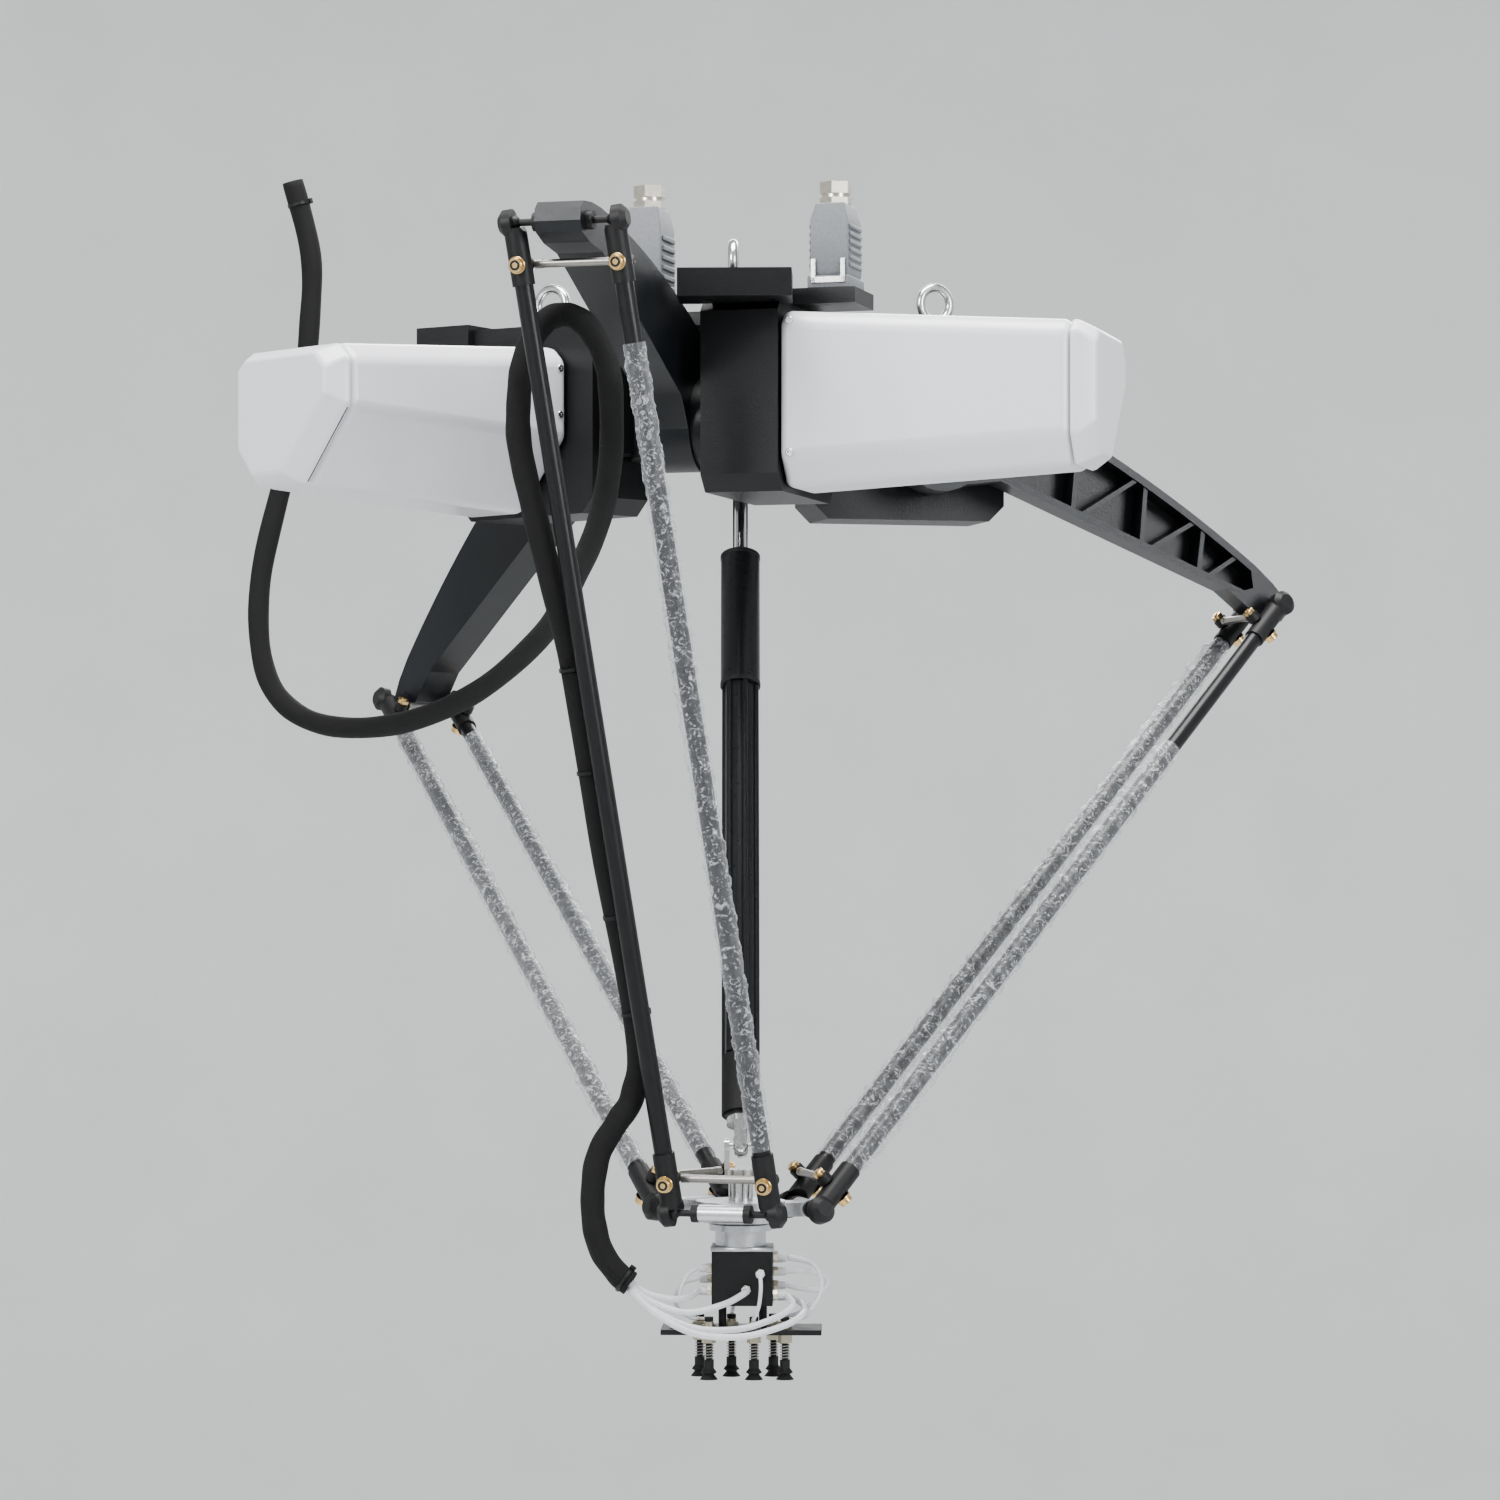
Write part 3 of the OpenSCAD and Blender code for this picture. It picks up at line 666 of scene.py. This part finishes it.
def build_cups():
    """Springs, and on each stem a barb with the vacuum tube that comes from the block."""
    for i, ((x, y), way) in enumerate(zip(CUPS, CUP_SIDE), 1):
        base = under(x, y, SPRING_FOOT)
        coil = helix(base, SPRING_R, SPRING_LONG, SPRING_TURNS)
        spring = tube(f"cup_spring_{i}", coil, SPRING_WIRE_R, "spring", 8)
        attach(spring, "tool")
        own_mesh(spring)
        start = under(x, y, BARB_AT) + way * STEM_R * MM
        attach(turned(f"cup_barb_{i}", start, way, BARB_PROFILE, "nickel", 16), f"cup_{i}")
        path = [under(*p) for p in CUP_TUBES[i - 1]]
        line = air_tube(f"cup_tube_{i}", path, CUP_TUBE_R, 12)
        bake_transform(line)


def build_fittings():
    """Push-in fittings all round the block, its lid with four sunk bolts, and the loop."""
    parts = []
    for way, x, y, z in BLOCK_PORTS:
        at = under(x, y, z)
        parts.append(turned("nut", at, way, [(0, 4.6), (0.4, 5), (4.6, 5), (5, 4.6)], "nickel", 6))
        parts.append(turned("sleeve", at, way, [(5, 4.3), (10, 4.3), (10.4, 3.9)], "fitting", 24))
        parts.append(turned("collar", at, way, [(10.4, 4.0), (12.4, 4.0), (12.8, 3.4)], "fitting", 24))
    for x in (LID_X[0] + LID_BOLT_INSET, LID_X[1] - LID_BOLT_INSET):
        for y in (LID_Y[0] + LID_BOLT_INSET, LID_Y[1] - LID_BOLT_INSET):
            at = under(x, y, LID_Z[1] - LID_BOLT_SUNK)
            parts.append(turned("bolt", at, DOWN, [(0, 3.4), (0.4, 3.2)], "steel", 16))
    corners = [(LID_X[0], LID_Y[0]), (LID_X[1], LID_Y[0]), (LID_X[1], LID_Y[1]), (LID_X[0], LID_Y[1])]
    lid = [[under(x, y, z) for x, y in corners] for z in LID_Z]
    parts.append(bevelled(prism("lid", lid, "alu"), 1))
    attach(joined("gripper_fittings", parts), "tool")
    path = [under(*p) for p in BLOCK_LOOP]
    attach(air_tube("block_loop", path, BLOCK_LOOP_R, 12), "tool")


# ---- Hose and air tubes ----

HOSE_R = 12.0
HOSE_SIDES = 24
HOSE_STEPS = 8  # rings between two chosen points of the hose
HOSE_SWELL = 0.25  # unevenness of the braid
# Chosen points of the hose, from its upper end over the front elbow and down a rod to the gripper.
HOSE = [
    (-524, 300, 328), (-504, 308, 244), (-506, 312, 164), (-515, 312, 76), (-535, 306, -11),
    (-560, 296, -127), (-558, 284, -216), (-532, 266, -271), (-475, 232, -300), (-385, 165, -299),
    (-290, 60, -267), (-206, -90, -210), (-163, -230, -158), (-131, -360, -110), (-114, -450, -55),
    (-111, -500, 5), (-116, -506, 36), (-129, -511, 62), (-143, -514, 75), (-158, -515, 78),
    (-173, -516, 72), (-187, -518, 52), (-196, -520, 22), (-199, -521, -12), (-198, -523, -46),
    (-188, -524, -95), (-172, -520, -160), (-148, -504, -263), (-121, -482, -429), (-88, -457, -615),
    (-92, -452, -677), (-107, -458, -704), (-124, -465, -733), (-130, -472, -766), (-129, -476, -800),
    (-121, -478, -829), (-104, -479, -852), (-93, -480, -860)]
# The points where the feed starts to bend, and where the loop, the tied stretch and the tail start.
FEED_BENDS_FROM, LOOP_START, ROD_START, TAIL_START = 9, 19, 27, 29
HOSE_END = len(HOSE) - 1
HOSE_LINE = [row(p) for p in smooth_path(HOSE, HOSE_STEPS)]
# Pieces of the hose: name, CAD node, first and last point, point where it leaves, metres and far end.
HOSE_PIECES = [
    ("hose_braid_feed", "hose_feed", 0, LOOP_START, LOOP_START, 1.71, "bare"),
    ("hose_braid_loop", "hose_loop", LOOP_START, ROD_START, LOOP_START, 0.37, "object"),
    ("hose_braid_rod", "hose_rod", ROD_START, TAIL_START, ROD_START, 0.36, "object"),
    ("hose_braid_tail", "hose_tail", TAIL_START, HOSE_END, TAIL_START, 0.27, "bare"),
]
# Rings of the hose that a cable tie holds: along the rod, at the lower end and at the upper end.
ROD_TIES = [ROD_START * HOSE_STEPS + step for step in (0, 5, 11, 15)]
END_TIE = HOSE_END * HOSE_STEPS - 5
TOP_TIE = 3
TIE_R = HOSE_R + 0.5
TIE_PROFILE = [(-2.2, TIE_R), (-1.8, TIE_R + 0.8), (1.8, TIE_R + 0.8), (2.2, TIE_R)]


def hose_piece(name, node, first, last, leaves_at, length, far_end):
    """The sleeve between two of its chosen points, a little uneven like a real braid."""
    start, end = first * HOSE_STEPS, last * HOSE_STEPS
    piece = tube(name, HOSE_LINE, HOSE_R, "sleeve", HOSE_SIDES, start, end, HOSE_SWELL)
    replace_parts(piece, node)
    return piece


def tie(name, i, body):
    """A cable tie round ring i of the hose, with its small head."""
    way = way_at(HOSE_LINE, i)
    strap = turned(name, HOSE_LINE[i], way, TIE_PROFILE, "tie", 32)
    side = way.cross(REAR).normalized()
    head = turned("head", HOSE_LINE[i] + side * (TIE_R + 1.5) * MM, way, [(-3, 2.6), (3, 2.6)], "tie", 8)
    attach(joined(name, [strap, head]), body)


def build_hose():
    """The four stretches of the hose, the one along the rod held by the front rods, and their ties."""
    feed, loop, down, tail = [hose_piece(*facts) for facts in HOSE_PIECES]
    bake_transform(feed)
    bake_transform(loop)
    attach(down, "rods_a")
    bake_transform(tail)
    for k, ring in enumerate(ROD_TIES):
        tie(f"hose_tie_{k}", ring, "rods_a")
    tie("hose_tie_end", END_TIE, "platform")
    tie("hose_tie_top", TOP_TIE, "base")


AIR_R = 3.3
# The four tubes from the end of the hose to the block.
AIR = [
    [(-108, -72, -64), (-88, -74, -77), (-62, -66, -83), (-47, -44, -82), (-42, -22, -80), (-40, -14, -80)],
    [(-108, -78, -66), (-86, -82, -83), (-50, -84, -94), (-16, -70, -88), (3, -52, -80), (6, -37, -78)],
    [(-109, -75, -70), (-84, -84, -90), (-45, -88, -108), (0, -84, -110), (36, -62, -101), (52, -36, -92),
     (45, -14, -84)],
    [(-106, -79, -71), (-80, -90, -94), (-42, -97, -113), (4, -94, -116), (44, -70, -108), (62, -36, -100),
     (60, 4, -94), (45, 12, -88)],
]


def build_air_tubes():
    """Supply tubes from the hose beside the platform to the block."""
    for k, points in enumerate(AIR):
        path = [under(*p) for p in points]
        line = air_tube(f"air_tube_{k}", path, AIR_R, 16)
        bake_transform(line)


build_covers()
build_hoods()
build_rod_bolts()
build_films()
build_drive()
build_cups()
build_fittings()
build_hose()
build_air_tubes()


# ---- Stage, light and camera ----

# Radius and height in metres from the middle of the floor to the top of the wall.
STAGE = [(0.5, -2.6), (5.0, -2.6), (5.8, -2.5), (6.5, -2.1), (6.9, -1.5), (7.0, -0.8), (7.0, 5.0)]
STAGE_SIDES = 96


def build_stage():
    """A pale floor that curves up into a round wall, the same from every side."""
    verts = []
    for radius, height in STAGE:
        verts += around(UP * height, RIGHT, REAR, radius, STAGE_SIDES)
    faces = ring_faces(len(STAGE), STAGE_SIDES, top=False)
    add_mesh("backdrop", verts, faces, "floor")


AIM = (0, 0, -0.4)  # the middle of the robot, in metres


def area_light(name, at, size, power, color=(1, 1, 1), target=AIM):
    """A soft rectangular light that points at a target; places and sizes are in metres."""
    lamp = bpy.data.lights.new(name, "AREA")
    lamp.shape = "RECTANGLE"
    lamp.size, lamp.size_y = size
    lamp.energy = power
    lamp.color = color
    obj = bpy.data.objects.new(name, lamp)
    bpy.context.collection.objects.link(obj)
    obj.location = at
    obj.rotation_euler = (Vector(target) - Vector(at)).to_track_quat("-Z", "Y").to_euler()


def build_lights():
    """A large light from above, one from each front side, one from behind, and a pale sky."""
    area_light("ceiling", (0.2, -0.6, 2.4), (2.6, 1.8), 150, (1, 0.99, 0.97))
    area_light("front_left", (-2.6, -3.4, 1.2), (1.2, 1.6), 90, target=(0, 0, -0.5))
    area_light("front_right", (2.8, -3.0, 0.6), (1.0, 1.6), 60, (0.97, 0.98, 1))
    area_light("back", (0.4, 2.8, 1.2), (2.4, 1.2), 50)
    world = bpy.data.worlds.new("world")
    world.use_nodes = True
    sky = world.node_tree.nodes["Background"]
    sky.inputs["Color"].default_value = (0.66, 0.67, 0.69, 1)
    sky.inputs["Strength"].default_value = 0.5
    bpy.context.scene.world = world


def build_camera():
    """A level camera in front of the robot, below the mounting plane."""
    lens = bpy.data.cameras.new("camera")
    lens.lens = 106
    lens.shift_y = 0.055
    lens.sensor_width = 36
    camera = bpy.data.objects.new("camera", lens)
    bpy.context.collection.objects.link(camera)
    camera.location = (0.1355, -4.7693, -0.5614)
    camera.rotation_euler = (math.radians(90), 0, math.radians(1.5))
    bpy.context.scene.camera = camera


build_stage()
build_lights()
build_camera()
bpy.context.scene.view_settings.look = "AgX - Medium High Contrast"
